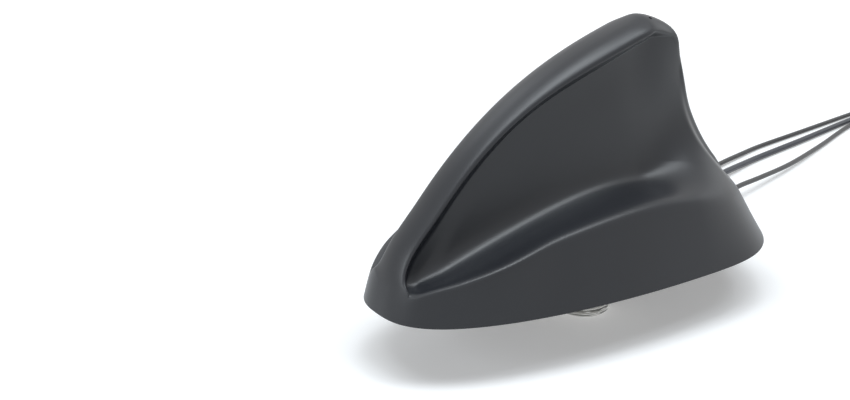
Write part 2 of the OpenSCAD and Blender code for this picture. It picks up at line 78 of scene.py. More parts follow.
def soft_min(a: Array, b: Array, r: Array) -> Array:
    """Lesser of a and b, rounded over a width r."""
    return 0.5 * (a + b - np.sqrt((a - b) ** 2 + r * r))


def soft_max(a: Array, b: Array, r: Array) -> Array:
    """Greater of a and b, rounded over a width r."""
    return 0.5 * (a + b + np.sqrt((a - b) ** 2 + r * r))


def bezier_chain(points: list[Pair], steps: int = CURVE_STEPS) -> Array:
    """Points of cubic curves joined end to end.

    Each point is the sum of a cubic's four points times (1-t)^3, 3 (1-t)^2 t, 3 (1-t) t^2 and t^3.

    Args:
        points: The first point, and then two control points and the end of each cubic.
        steps: How many steps each cubic is cut into.

    Returns:
        Points as an array of n by 2.
    """
    p = np.asarray(points, float)
    t = np.linspace(0.0, 1.0, steps, endpoint=False)[:, None]
    s = 1.0 - t
    parts = [s ** 3 * p[i] + 3 * s * s * t * p[i + 1] + 3 * s * t * t * p[i + 2] + t ** 3 * p[i + 3]
             for i in range(0, len(p) - 1, 3)]
    return np.vstack(parts + [p[-1:]])


def spline(points: Array, steps: int) -> Array:
    """Smooth line through points: a Catmull-Rom cubic on each span.

    Args:
        points: The points it passes through, n by 3.
        steps: How many steps each span is cut into.

    Returns:
        The line's points.
    """
    p = np.vstack([2 * points[0] - points[1], points, 2 * points[-1] - points[-2]])
    t = np.linspace(0.0, 1.0, steps, endpoint=False)[None, :, None]
    a, b, c, d = (p[i:len(p) - 3 + i, None, :] for i in range(4))
    line = b + 0.5 * t * (c - a + t * (2 * a - 5 * b + 4 * c - d + t * (3 * (b - c) + d - a)))
    return np.vstack([line.reshape(-1, 3), points[-1:]])


def around(count: int) -> Array:
    """Angles of evenly spaced points round a circle."""
    return np.linspace(0, 2 * np.pi, count, endpoint=False)


def polar(radius: Array, angle: Array, z: Array) -> Array:
    """Points at a radius, an angle and a height."""
    x = radius * np.cos(angle)
    return np.stack([x, radius * np.sin(angle), z + 0 * x], -1)


def axes_matrix(first: Array, second: Array, third: Array, place: Array) -> Array:
    """Matrix of 4 by 4 with three axes as its columns, and a place.

    Args:
        first: The first axis.
        second: The second axis.
        third: The third axis.
        place: Where the origin goes.

    Returns:
        The matrix.
    """
    matrix = np.eye(4)
    matrix[:3, 0], matrix[:3, 1], matrix[:3, 2], matrix[:3, 3] = first, second, third, place
    return matrix


def moved(points: Array, place: Array) -> Array:
    """Points turned and moved by a 4 by 4 matrix."""
    return points @ place[:3, :3].T + place[:3, 3]


def add_object(name: str, data: bpy.types.ID) -> Object:
    """Makes an object from its data and puts it in the scene.

    Args:
        name: The object's name.
        data: A mesh, a camera or a light.

    Returns:
        The new object.
    """
    made = bpy.data.objects.new(name, data)
    bpy.context.scene.collection.objects.link(made)
    return made


# Meshes from grids of points

@dataclass
class Skin:
    """A mesh put together from grids and fans of points, in millimetres."""

    points: list[Array] = field(default_factory=list)
    quads: list[Array] = field(default_factory=list)
    triangles: list[Array] = field(default_factory=list)
    count: int = 0

    def add_points(self, points: Array) -> int:
        """Adds points and returns the number of the first.

        Args:
            points: The points, in an array of any shape by 3.

        Returns:
            The number of the first point.
        """
        first = self.count
        flat = np.asarray(points, float).reshape(-1, 3)
        self.points.append(flat)
        self.count += len(flat)
        return first

    def grid(self, points: Array, wrap: bool = False) -> Array:
        """Adds a grid of points with a quad in each cell.

        Args:
            points: An array of rows by columns by 3.
            wrap: Whether the last column joins the first.

        Returns:
            The number of each point, rows by columns.
        """
        rows, columns = points.shape[:2]
        index = np.arange(rows * columns).reshape(rows, columns) + self.add_points(points)
        self.join(index, wrap)
        return index

    def join(self, index: Array, wrap: bool = False) -> None:
        """Adds the quads of a grid of point numbers, each cell's corners in turn.

        Args:
            index: Point numbers, rows by columns.
            wrap: Whether the last column joins the first.
        """
        ring = np.hstack([index, index[:, :1]]) if wrap else index
        a, b, c, d = ring[:-1, :-1], ring[:-1, 1:], ring[1:, 1:], ring[1:, :-1]
        self.quads.append(np.stack([a, b, c, d], -1).reshape(-1, 4))

    def fan(self, tip: int, ring: Array) -> None:
        """Adds a triangle from one point to each pair of neighbours in a row of points."""
        tips = np.full(len(ring) - 1, tip)
        self.triangles.append(np.stack([tips, ring[:-1], ring[1:]], -1))

    def cap(self, ring: Array, centre: Array) -> None:
        """Closes a ring of point numbers with a fan from its centre."""
        tip = self.add_points(np.asarray(centre, float)[None])
        self.fan(tip, np.append(ring, ring[0]))

    def build(self, name: str, sharp_degrees: float = 35.0) -> Object:
        """Makes the Blender object, in metres, smooth but for edges sharper than an angle.

        Args:
            name: The piece's name.
            sharp_degrees: Edges that turn by more than this stay sharp.

        Returns:
            The object, at the origin, with closed joints and faces that point outwards.
        """
        points = np.vstack(self.points) * MM
        faces = [face for block in self.quads + self.triangles for face in block.tolist()]
        mesh = bpy.data.meshes.new(name)
        mesh.from_pydata(points, [], faces)
        mesh.validate()
        work = bmesh.new()
        work.from_mesh(mesh)
        bmesh.ops.remove_doubles(work, verts=work.verts, dist=DOUBLES)
        bmesh.ops.dissolve_degenerate(work, edges=work.edges, dist=DEGENERATE)
        bmesh.ops.recalc_face_normals(work, faces=work.faces)
        work.to_mesh(mesh)
        work.free()
        mesh.shade_smooth()
        mesh.set_sharp_from_angle(angle=math.radians(sharp_degrees))
        return add_object(name, mesh)


def turned(skin: Skin, profile: list[Pair], sides: int, place: Array) -> None:
    """Adds a profile of (radius, height) turned round the z axis, from one point on the axis to another.

    Args:
        skin: The mesh it is added to.
        profile: The profile's points in order; the first and the last have a radius of 0.
        sides: How many steps the turn has.
        place: A 4 by 4 matrix that places it.
    """
    line = np.asarray(profile, float)
    ring = polar(line[1:-1, :1], around(sides), line[1:-1, 1:])
    index = skin.grid(moved(ring, place), wrap=True)
    for row in (0, -1):
        skin.cap(index[row], moved(np.array([0.0, 0.0, line[row, 1]]), place))


def carried(skin: Skin, line: Array, radius: float, sides: int = 14) -> None:
    """Adds a round tube carried along a line of points, closed at both ends.

    Each ring lies square to the line, and its side direction is the last ring's with the part along the line
    taken out, so that the tube doesn't twist.

    Args:
        skin: The mesh it is added to.
        line: The centre line's points.
        radius: The tube's radius.
        sides: How many sides it has.
    """
    along = np.gradient(line, axis=0)
    along /= np.linalg.norm(along, axis=1, keepdims=True)
    side = np.empty_like(line)
    last = np.array([0.0, 1.0, 0.0])
    for i, t in enumerate(along):
        last = last - (last @ t) * t
        last = last / np.linalg.norm(last)
        side[i] = last
    other = np.cross(along, side)
    angle = around(sides)[None, :, None]
    ring = line[:, None] + radius * (np.cos(angle) * side[:, None] + np.sin(angle) * other[:, None])
    index = skin.grid(ring, wrap=True)
    skin.cap(index[0], line[0])
    skin.cap(index[-1], line[-1])


# Finishes

def fill(node: bpy.types.Node, values: dict[str, object]) -> None:
    """Sets a node's inputs by name."""
    for name, value in values.items():
        node.inputs[name].default_value = value


class Nodes:
    """Short ways to put together the nodes of a material or of the surround."""

    def __init__(self, owner: Material | bpy.types.World) -> None:
        """Takes the owner's tree into use, and keeps its shader where it has one.

        Args:
            owner: The new material or world.
        """
        owner.use_nodes = True
        self.owner, self.tree = owner, owner.node_tree
        self.shader = self.tree.nodes.get("Principled BSDF")

    def node(self, kind: str, **settings: object) -> bpy.types.Node:
        """Adds a node of a kind with its properties set.

        Args:
            kind: The node's type in Blender.
            settings: Its properties.

        Returns:
            The new node.
        """
        made = self.tree.nodes.new(kind)
        for key, value in settings.items():
            setattr(made, key, value)
        return made

    def where(self) -> Socket:
        """The object's own coordinates, in metres."""
        return self.node("ShaderNodeTexCoord").outputs["Object"]

    def link(self, start: Socket, end: Socket) -> None:
        """Joins two sockets."""
        self.tree.links.new(start, end)

    def maths(self, operation: str, first: Socket, second: Socket) -> Socket:
        """Joins two values by an operation.

        Args:
            operation: The operation's name in Blender.
            first: The first value.
            second: The second value.

        Returns:
            The result.
        """
        made = self.node("ShaderNodeMath", operation=operation)
        self.link(first, made.inputs[0])
        self.link(second, made.inputs[1])
        return made.outputs[0]

    def noise(self, scale: float, detail: float = 3.0, rough: float = 0.55,
              stretch: Triple = (1.0, 1.0, 1.0)) -> Socket:
        """Noise on the object's own coordinates.

        Args:
            scale: Waves in each metre.
            detail: How many finer layers it has.
            rough: How strong the finer layers are.
            stretch: Scale along each axis.

        Returns:
            The noise's value.
        """
        mapping, texture = self.node("ShaderNodeMapping"), self.node("ShaderNodeTexNoise")
        fill(mapping, {"Scale": stretch})
        fill(texture, {"Scale": scale, "Detail": detail, "Roughness": rough})
        self.link(self.where(), mapping.inputs["Vector"])
        self.link(mapping.outputs["Vector"], texture.inputs["Vector"])
        return texture.outputs["Fac"]

    def ramp(self, value: Socket, low: Triple, high: Triple, start: float, end: float) -> Socket:
        """Colour that goes from low to high as a value goes from start to end.

        Args:
            value: The value.
            low: Colour at the start.
            high: Colour at the end.
            start: Value at which the change starts.
            end: Value at which it ends.

        Returns:
            The colour.
        """
        ramp = self.node("ShaderNodeValToRGB")
        for mark, place, color in zip(ramp.color_ramp.elements, (start, end), (low, high)):
            mark.position = place
            mark.color = (*color, 1.0)
        self.link(value, ramp.inputs["Fac"])
        return ramp.outputs["Color"]

    def span(self, value: Socket, middle: float, down: float, up: float) -> Socket:
        """Spreads a value from 0 to 1 over a range about a middle: straight from its lower to its upper end.

        Args:
            value: The value, from 0 to 1.
            middle: What it is set about.
            down: How far 0 lies below the middle.
            up: How far 1 lies above it.

        Returns:
            The new value.
        """
        ranged = self.node("ShaderNodeMapRange")
        fill(ranged, {"To Min": middle - down, "To Max": middle + up})
        self.link(value, ranged.inputs["Value"])
        return ranged.outputs["Result"]

    def bump(self, height: Socket, strength: float, distance: float) -> Socket:
        """Bump from a height.

        Args:
            height: Height at each point, from 0 to 1.
            strength: How strongly it shows.
            distance: Real height of 1, in metres.

        Returns:
            The bent normal.
        """
        bump = self.node("ShaderNodeBump")
        fill(bump, {"Strength": strength, "Distance": distance})
        self.link(height, bump.inputs["Height"])
        return bump.outputs["Normal"]

    def dress(self, color: Socket, roughness: Socket, normal: Socket) -> Material:
        """Joins colour, roughness and normal to the shader and hands back the material.

        Args:
            color: Base colour.
            roughness: Roughness.
            normal: Normal.

        Returns:
            The finished material.
        """
        for name, value in (("Base Color", color), ("Roughness", roughness), ("Normal", normal)):
            self.link(value, self.shader.inputs[name])
        return self.owner


@dataclass(frozen=True)
class Plastic:
    """Moulded plastic or rubber with a fine even grain."""

    name: str
    color: Triple
    roughness: float
    grain: float = 2600.0
    grain_strength: float = 0.25
    specular: float = 0.5
    grain_depth: float = 0.00002
    shade: float = 0.06
    shade_scale: float = 26.0
    shade_range: Pair = (0.35, 0.65)
    gloss_scale: float = 70.0
    gloss_change: Pair = (0.03, 0.03)

    def make(self) -> Material:
        """Makes the material: grain in the bump, and slow changes in colour and gloss.

        Returns:
            The material.
        """
        nodes = Nodes(bpy.data.materials.new(self.name))
        fill(nodes.shader, {"Specular IOR Level": self.specular})
        low = tuple(c * (1.0 - self.shade) for c in self.color)
        high = tuple(min(1.0, c * (1.0 + self.shade)) for c in self.color)
        color = nodes.ramp(nodes.noise(self.shade_scale, detail=2.0), low, high, *self.shade_range)
        gloss = nodes.span(nodes.noise(self.gloss_scale, detail=2.0), self.roughness, *self.gloss_change)
        height = nodes.noise(self.grain, detail=2.0, rough=0.7)
        return nodes.dress(color, gloss, nodes.bump(height, self.grain_strength, self.grain_depth))


@dataclass(frozen=True)
class Metal:
    """Bare or plated metal: cast, rolled or turned."""

    name: str
    color: Triple
    roughness: float
    grain: float
    stretch: Triple = (1.0, 1.0, 1.0)
    grain_strength: float = 0.3
    grain_depth: float = 0.00002
    shade: float = 0.1
    shade_scale: float = 120.0
    shade_range: Pair = (0.3, 0.7)
    gloss_scale: float = 200.0
    gloss_change: Pair = (0.08, 0.1)

    def make(self) -> Material:
        """Makes the material: full metal with uneven gloss and a fine texture in the bump.

        Returns:
            The material.
        """
        nodes = Nodes(bpy.data.materials.new(self.name))
        fill(nodes.shader, {"Metallic": 1.0})
        low = tuple(c * (1.0 - self.shade) for c in self.color)
        color = nodes.ramp(nodes.noise(self.shade_scale, detail=4.0), low, self.color, *self.shade_range)
        gloss = nodes.span(nodes.noise(self.gloss_scale, detail=4.0), self.roughness, *self.gloss_change)
        height = nodes.noise(self.grain, detail=4.0, rough=0.6, stretch=self.stretch)
        return nodes.dress(color, gloss, nodes.bump(height, self.grain_strength, self.grain_depth))


@dataclass(frozen=True)
class BoardMask:
    """Printed circuit board: solder mask with copper planes that show through it as a lighter shade."""

    name: str
    color: Triple
    trace: Triple
    roughness: float = 0.32
    cell_scale: float = 240.0
    cell_edge: Pair = (0.36, 0.42)
    edge_strength: float = 0.2
    edge_depth: float = 0.00003
    gloss_scale: float = 150.0
    gloss_change: Pair = (0.05, 0.05)

    def make(self) -> Material:
        """Makes the material: square cells of mask over copper, from a Voronoi pattern in straight distances.

        Returns:
            The material.
        """
        nodes = Nodes(bpy.data.materials.new(self.name))
        cells = nodes.node("ShaderNodeTexVoronoi", distance="CHEBYCHEV", feature="F1")
        fill(cells, {"Scale": self.cell_scale})
        nodes.link(nodes.where(), cells.inputs["Vector"])
        away = cells.outputs["Distance"]
        color = nodes.ramp(away, self.trace, self.color, *self.cell_edge)
        gloss = nodes.span(nodes.noise(self.gloss_scale), self.roughness, *self.gloss_change)
        return nodes.dress(color, gloss, nodes.bump(away, self.edge_strength, self.edge_depth))


class Finish(Enum):
    """Every finish on the antenna.

    A plastic's row has its name, colour, roughness, grain, the grain's strength and the specular level. A
    metal's has its name, colour, roughness, grain and the grain's scale along each axis.
    """

    COVER = Plastic("grained_cover", (0.0115, 0.0131, 0.0168), 0.37, 3000.0, 0.25, 0.45)
    RUBBER = Plastic("black_rubber", (0.022, 0.022, 0.024), 0.62, 1500.0, 0.5, 0.35)
    GROMMET = Plastic("soft_grommet", (0.018, 0.018, 0.02), 0.55, 1900.0, 0.4)
    HOUSING = Plastic("plug_housing", (0.03, 0.03, 0.033), 0.4, 2100.0, 0.2)
    SHEATH = Plastic("cable_sheath", (0.022, 0.022, 0.0235), 0.36, 1300.0, 0.15)
    SHEATH_BLUE = Plastic("positioning_cable_sheath", (0.021, 0.025, 0.036), 0.34, 1300.0, 0.15)
    # Near-black vent disc: painted shade in place of the dark inside of the hole, which is not cut.
    VENT = Plastic("vent_shadow", (0.004, 0.004, 0.004), 0.9, specular=0.1)
    CERAMIC = Plastic("patch_ceramic", (0.60, 0.50, 0.37), 0.58, 900.0, 0.3)
    CAST = Metal("cast_base", (0.56, 0.57, 0.59), 0.42, 700.0, grain_strength=0.45)
    STEEL = Metal("zinc_plated_steel", (0.66, 0.66, 0.64), 0.3, 500.0, (1.0, 1.0, 6.0))
    NUT = Metal("plated_nut", (0.68, 0.67, 0.62), 0.32, 500.0, (1.0, 1.0, 5.0))
    TIN = Metal("tinned_sheet", (0.72, 0.73, 0.74), 0.24, 400.0, (8.0, 1.0, 1.0))
    BRASS = Metal("rolled_brass", (0.76, 0.56, 0.24), 0.27, 500.0, (8.0, 1.0, 1.0))
    COPPER = Metal("enamelled_copper", (0.70, 0.33, 0.17), 0.26, 500.0)
    BOARD = BoardMask("solder_mask", (0.012, 0.07, 0.03), (0.03, 0.15, 0.06))

    def material(self) -> Material:
        """The Blender material, made the first time it is asked for."""
        found = bpy.data.materials.get(self.value.name)
        return found if found is not None else self.value.make()


def dress(piece: Object, finish: Finish) -> None:
    """Gives a new piece its material and its body.

    Args:
        piece: The new piece.
        finish: Its finish.
    """
    piece.data.materials.clear()
    piece.data.materials.append(finish.material())
    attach(piece, BODY)


def dress_node(node: str, finish: Finish) -> Object:
    """Gives a CAD node that stays visible a better material.

    Args:
        node: The node's name.
        finish: Its finish.

    Returns:
        The node's object.
    """
    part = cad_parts[node]
    for place in part.material_slots:
        place.material = finish.material()
    return part


# Camera, ground and light

@dataclass
class Camera:
    """The photograph's viewpoint, found by fitting a camera to the object's outline."""

    place: Triple = (-228.82, -249.68, 143.42)
    azimuth: float = -33.951
    elevation: float = 20.405
    focal_pixels: float = 1150.98
    sensor: float = 36.0
    clip: Pair = (0.01, 20.0)

    def make(self) -> None:
        """Makes the camera and makes it the scene's own."""
        azimuth, elevation = math.radians(self.azimuth), math.radians(self.elevation)
        level = math.cos(elevation)
        back = np.array([math.sin(azimuth) * level, -math.cos(azimuth) * level, math.sin(elevation)])
        right = np.array([math.cos(azimuth), math.sin(azimuth), 0.0])
        up = np.cross(back, right)
        data = bpy.data.cameras.new("camera")
        data.sensor_fit = "HORIZONTAL"
        data.sensor_width = self.sensor
        data.lens = self.focal_pixels * self.sensor / IMAGE_WIDTH
        data.clip_start, data.clip_end = self.clip
        camera = add_object("camera", data)
        camera.matrix_world = Matrix(axes_matrix(right, up, back, np.array(self.place) * MM).tolist())
        bpy.context.scene.camera = camera


@dataclass(frozen=True)
class Lamp:
    """A square soft light: the direction it stands in, seen from the object, and its power in watts."""

    name: str
    toward: Triple
    power: float


LAMPS = (
    Lamp("top_light", (0.0, -0.08, 1.0), 3.3),
    Lamp("top_front_light", (0.3, -0.3, 0.9), 2.3),
    Lamp("top_nose_light", (-0.36, 0.06, 0.93), 2.0),
    Lamp("nose_edge_light", (-0.9, 0.1, 0.35), 1.9),
    Lamp("rear_edge_light", (0.93, 0.0, 0.35), 0.25),
    Lamp("far_light", (-0.1, 0.68, 0.7), 0.55),
    Lamp("front_light", (-0.48, -0.72, 0.5), 0.25),
)


@dataclass
class Studio:
    """A pale ground under soft lights, with a white surround.

    The ground's glow, which only seen and mirrored rays meet, grows from ground_glow to far_glow between the
    two distances of glow_range, where the lamps no longer reach.
    """

    ground_half: float = 4.0
    ground_color: float = 0.8
    ground_roughness: float = 0.9
    ground_specular: float = 0.2
    ground_glow: float = 0.31
    far_glow: float = 0.8
    glow_range: Pair = (0.1, 0.7)
    world_level: float = 0.12
    lamp_size: float = 0.36
    lamp_distance: float = 0.9
    lamp_color: Triple = (0.94, 1.0, 1.05)
    aim: Triple = (0.0, 0.0, 0.02)

    def seen(self, nodes: Nodes) -> Socket:
        """1 for camera, glossy and transmission rays, which see the background, and 0 for all others.

        Args:
            nodes: Nodes of the ground or of the surround.

        Returns:
            The value.
        """
        path = nodes.node("ShaderNodeLightPath")
        value = path.outputs["Is Camera Ray"]
        for kind in ("Is Glossy Ray", "Is Transmission Ray"):
            value = nodes.maths("MAXIMUM", value, path.outputs[kind])
        return value

    def ground(self) -> None:
        """Makes the ground plane, which holds the shadow and is white where it is seen or mirrored."""
        h, z = self.ground_half, GROUND_Z * MM
        mesh = bpy.data.meshes.new("ground")
        mesh.from_pydata([(-h, -h, z), (h, -h, z), (h, h, z), (-h, h, z)], [], [(0, 1, 2, 3)])
        add_object("ground", mesh)
        nodes = Nodes(bpy.data.materials.new("pale_ground"))
        fill(nodes.shader, {"Base Color": (self.ground_color,) * 3 + (1.0,),
                            "Roughness": self.ground_roughness, "Specular IOR Level": self.ground_specular})
        away = nodes.node("ShaderNodeVectorMath", operation="LENGTH")
        level = nodes.node("ShaderNodeMapRange", interpolation_type="SMOOTHSTEP")
        near, far = self.glow_range
        fill(level, {"From Min": near, "From Max": far, "To Min": self.ground_glow, "To Max": self.far_glow})
        nodes.link(nodes.where(), away.inputs[0])
        nodes.link(away.outputs["Value"], level.inputs["Value"])
        glow, add = nodes.node("ShaderNodeEmission"), nodes.node("ShaderNodeAddShader")
        power = nodes.maths("MULTIPLY", self.seen(nodes), level.outputs["Result"])
        nodes.link(power, glow.inputs["Strength"])
        nodes.link(nodes.shader.outputs[0], add.inputs[0])
        nodes.link(glow.outputs[0], add.inputs[1])
        nodes.link(add.outputs[0], nodes.tree.nodes["Material Output"].inputs["Surface"])
        mesh.materials.append(nodes.owner)

    def world(self) -> None:
        """Makes the surround: weak plain light for the object, white where it is seen or mirrored."""
        world = bpy.context.scene.world = bpy.data.worlds.new("surround")
        nodes = Nodes(world)
        background = nodes.tree.nodes["Background"]
        fill(background, {"Color": (1.0, 1.0, 1.0, 1.0)})
        strength = nodes.span(self.seen(nodes), self.world_level, 0.0, 1.0 - self.world_level)
        nodes.link(strength, background.inputs["Strength"])

    def lamp(self, lamp: Lamp) -> None:
        """Makes one soft light, at the studio's distance and aimed at the object.

        Args:
            lamp: The light's name, direction and power.
        """
        data = bpy.data.lights.new(lamp.name, "AREA")
        data.size = self.lamp_size
        data.energy = lamp.power
        data.color = self.lamp_color
        back = np.array(lamp.toward) / np.linalg.norm(lamp.toward)
        side = np.cross([0.0, 1.0, 0.0], back)
        side /= np.linalg.norm(side)
        place = np.array(self.aim) + back * self.lamp_distance
        made = add_object(lamp.name, data)
        made.matrix_world = Matrix(axes_matrix(side, np.cross(back, side), back, place).tolist())

    def make(self) -> None:
        """Makes the ground, the surround and the lamps, and shows colours plainly."""
        self.ground()
        self.world()
        for lamp in LAMPS:
            self.lamp(lamp)
        bpy.context.scene.view_settings.view_transform = "Standard"


# Cables

# Length and height of each cable's way down through the stud, in its own lane.
WAY_DOWN = ((-3.4, 8.0), (-3.4, 2.0), (-3.4, -4.0), (-1.5, -8.6), (3.1, -10.5), (9.8, -10.5))


@dataclass
class Cable:
    """One thin coaxial cable, from the board down through the stud and out over the ground."""

    name: str
    lane: float
    diameter: float
    finish: Finish
    slot: str
    route: tuple[Triple, ...]

    def line(self) -> Array:
        """The centre line, in millimetres."""
        inside = [(x, self.lane, z) for x, z in WAY_DOWN]
        return spline(np.array(inside + list(self.route), float), steps=6)

    def heading(self) -> float:
        """Direction of the last stretch in the ground plane, in degrees."""
        last = np.subtract(self.route[-1], self.route[-2])
        return math.degrees(math.atan2(last[1], last[0]))

    def make(self) -> Object:
        """Makes the cable's tube in place of its CAD solid.

        Returns:
            The tube.
        """
        skin = Skin()
        carried(skin, self.line(), self.diameter / 2)
        piece = skin.build(f"{self.name}_sheath", sharp_degrees=60.0)
        dress(piece, self.finish)
        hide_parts(self.name)
        return piece

    def declare(self, piece: Object, with_pieces: list[Object]) -> None:
        """Does nothing: the cable's real length, thickness and end are not stated.

        Args:
            piece: The cable's tube; not used.
            with_pieces: What is on its end; not used.
        """


CABLES = (
    Cable("cable_radio", 2.45, 2.0, Finish.SHEATH, "cable", (
        (18, 3.2, -10.7), (40, 10.5, -11.8), (62, 24, -13), (84, 41, -14), (105, 56, -14.9),
        (124, 65.6, -15.4), (142, 71.4, -15.7), (159.6, 76, -16.1), (177.4, 80, -16.4), (210, 84.2, -16.4),
        (253.6, 89.9, -16.4), (285, 93.6, -16.4), (312, 97.8, -16.4), (330, 101.7, -15.6), (345, 105.4, -13),
        (351, 106.9, -13))),
    Cable("cable_gps", 0.0, 2.6, Finish.SHEATH_BLUE, "cable_blue", (
        (18, 0.6, -10.7), (40, 6.6, -11.8), (62, 19.4, -12.8), (83, 35.4, -13.6), (102, 48.6, -14.3),
        (119, 56.6, -14.8), (134.8, 61.4, -15.1), (150, 65.6, -15.8), (164.2, 68.8, -16.1),
        (198, 74.4, -16.1), (243.9, 82.6, -16.1), (272, 86, -16.1), (305, 88.8, -16.1), (326, 90.6, -15.3),
        (342, 92.6, -13), (348, 93.4, -13))),
    Cable("cable_phone", -2.45, 2.0, Finish.SHEATH, "cable", (
        (18, -2.2, -10.7), (38, 1.2, -11), (58, 10.6, -11), (78, 22.6, -11.1), (97, 32.6, -11.2),
        (116.2, 39.2, -11.7), (135, 44.3, -13.1), (164.4, 52.6, -15), (199.6, 64.5, -16.2),
        (236.9, 77.3, -16.4), (258, 80.6, -16.4), (290, 80.4, -16.4), (320, 79.4, -15.6), (336, 79.2, -13),
        (342, 79.1, -13))),
)


# The cover

@dataclass(frozen=True)
class Along:
    """A size that changes over the cover's length: a base, and steps that add to it.

    A step is (amount, start, width).
    """

    base: float
    steps: tuple[Triple, ...]

    def at(self, x: Array) -> Array:
        """The base plus, for each step, its amount times the smooth step from its start over its width.

        Args:
            x: Length from the middle of the cover.

        Returns:
            The size at each length.
        """
        size = np.full_like(x, self.base, dtype=float)
        for amount, start, width in self.steps:
            size = size + amount * step(x, start, width)
        return size


@dataclass
class CoverForm:
    """The cover's form, as functions of length and height, drawn about the middle of its length.

    The side outline is a chain of cubic curves. Across it, each section is a drafted skirt, a soft shoulder,
    a dished shelf, a soft valley, a flat fin side and a raised band along the spine. Sizes are in
    millimetres, and a pair of numbers for step() is a start and a width.
    """

    half_length: float = 73.0
    half_width: float = 33.5
    mid_x: float = -4.0
    rim_z: float = 0.8
    wall: float = 2.0
    wall_shift: Pair = (-45, 75)
    # Skirt: plan powers, and its draft, which is less at the nose and more at the tail.
    widest_x: float = 18.0
    front_power: Pair = (2, 2.7)
    rear_power: Pair = (3.6, 1.45)
    draft: float = 0.33
    nose_draft: Along = Along(0, ((0.24, -26, -26),))
    nose_draft_share: Along = Along(1, ((-0.6, -57, -12),))
    tail_draft: Along = Along(0, ((0.25, 25, 40),))
    # Shoulder, shelf and valley.
    shoulder_soft: Along = Along(2, ((3.5, -62, 70), (-2.5, 30, 20)))
    shelf_slope: Along = Along(0.12, ((0.5, 16, 36),))
    valley_soft: float = 15.0
    soft_depth: float = 14.0
    least_slope: float = 0.1
    least_half: float = 0.02
    # Dish of the shelf: its depth, and the shares of it that stay over the length.
    dish_depth: float = 5.4
    dish_shares: tuple[Along, ...] = (Along(1, ((-0.62, -50, 60),)), Along(1, ((-1, 14, 46),)),
                                      Along(0.7, ((0.3, -67, 10),)))
    dish_start: float = 3.5
    dish_height: float = 14.0
    dish_inward: float = 1.25
    # Fin side: what is added high up and low down, and how it thins towards the rear.
    high_start: Pair = (-50, 60)
    side_high: float = 1.5
    side_low: float = 0.7
    side_low_depth: float = 60.0
    side_thin: Pair = (0.55, 0.35)
    side_thin_height: Pair = (40, 25)
    side_thin_length: float = 34.0
    # Band along the spine: half width, step to the side, flare at the nose's foot, edges, and end at the tip.
    band_half: float = 5.8
    band_step: float = 1.6
    band_high: float = 3.0
    flare: float = 5.5
    flare_height: float = 8.5
    flare_fall: float = 2.0
    band_thin: float = 0.3
    band_thin_length: float = 16.0
    merge: float = 0.5
    merge_length: Pair = (14, 20)
    merge_height: Pair = (40, 28)
    arch_power: Pair = (2, 0.6)
    lip_depth: Along = Along(2.4, ((0.7, -66, 14), (2.2, -32, 36), (-1.8, 18, 14)))
    lip_soft: float = 1.2
    hollow: float = 1.6
    hollow_gap: float = 0.5
    crown_fall: Along = Along(0.9, ((2.2, -50, 65),))
    band_end: float = 7.0
    edge_round: float = 2.6
    edge_power: float = 2.2

    def __post_init__(self) -> None:
        """Works out the outline's lines of points once, from the cubic curves' control points."""
        nose = [(-73, 0), (-69, 18.2), (-64.4, 20.2), (-55.6, 30.2)]
        spine = [(-32.5, 56.5), (-9, 66), (20.1, 74.4)]
        tip = [(22.2, 74.9), (34.4, 71.2), (36.3, 64.6)]
        rear = [(39.7, 52.8), (44.3, 38.5), (56.8, 24.9)]
        tail = [(63.9, 17.6), (63.8, 14.9), (73, 0)]
        past_tip = [(22.2, 74.9), (35.2, 71.2), (39.7, 67.7)]
        shoulder = [(-73, 5.2), (-52, 16.9), (-9, 24.8), (12, 23.5), (44, 21.2), (42, 16.4), (73, 9.5)]
        self.outline = bezier_chain(nose + spine + tip + rear + tail)
        self.crest = bezier_chain(nose + spine + past_tip)
        self.shoulder = bezier_chain(shoulder)
        self.peak = int(np.argmax(self.outline[:, 1]))
        lengths = np.linalg.norm(np.diff(self.outline, axis=0), axis=1)
        self.run = np.concatenate([[0], np.cumsum(lengths)])

    def top(self, x: Array) -> Array:
        """Height of the outline at a length."""
        return np.interp(x, self.outline[:, 0], self.outline[:, 1])

    def at_run(self, run: Array) -> tuple[Array, Array]:
        """Length and height of the outline at distances along it."""
        return np.interp(run, self.run, self.outline[:, 0]), np.interp(run, self.run, self.outline[:, 1])

    def nose_x(self, z: Array) -> Array:
        """Front edge of the outline at a height."""
        front = self.outline[:self.peak + 1]
        return np.interp(z, front[:, 1], front[:, 0])

    def tail_x(self, z: Array) -> Array:
        """Rear edge of the outline at a height."""
        back = self.outline[self.peak:][::-1]
        return np.interp(z, back[:, 1], back[:, 0])

    def crest_z(self, x: Array) -> Array:
        """Height of the spine, carried on past the rounded tip."""
        return np.interp(x, self.crest[:, 0], self.crest[:, 1])

    def crest_cos(self, x: Array) -> Array:
        """Cosine of the spine's slope, from a difference over 3 mm."""
        slope = (self.crest_z(x + 1.5) - self.crest_z(x - 1.5)) / 3.0
        return 1.0 / np.sqrt(1.0 + slope * slope)

    def shoulder_z(self, x: Array) -> Array:
        """Height of the shoulder along the length."""
        return np.interp(x, self.shoulder[:, 0], self.shoulder[:, 1])

    def skirt(self, x: Array, z: Array) -> Array:
        """Half width of the skirt: a plan outline of two powers at each end, narrowed by the draft.

        Args:
            x: Length from the middle of the cover.
            z: Height above the rim.

        Returns:
            Half width at each point.
        """
        nose, tail = self.nose_x(z), self.tail_x(z)
        widest = np.clip(self.widest_x, nose + 1.0, tail - 1.0)
        front, rear = clamp((widest - x) / (widest - nose)), clamp((x - widest) / (tail - widest))
        (front_in, front_out), (rear_in, rear_out) = self.front_power, self.rear_power
        ahead = (1 - front ** front_in) ** (1 / front_out)
        share = np.where(x < widest, ahead, (1 - rear ** rear_in) ** (1 / rear_out))
        slope = self.draft - self.nose_draft.at(x) * self.nose_draft_share.at(x) + self.tail_draft.at(x)
        return (self.half_width - slope * z) * share

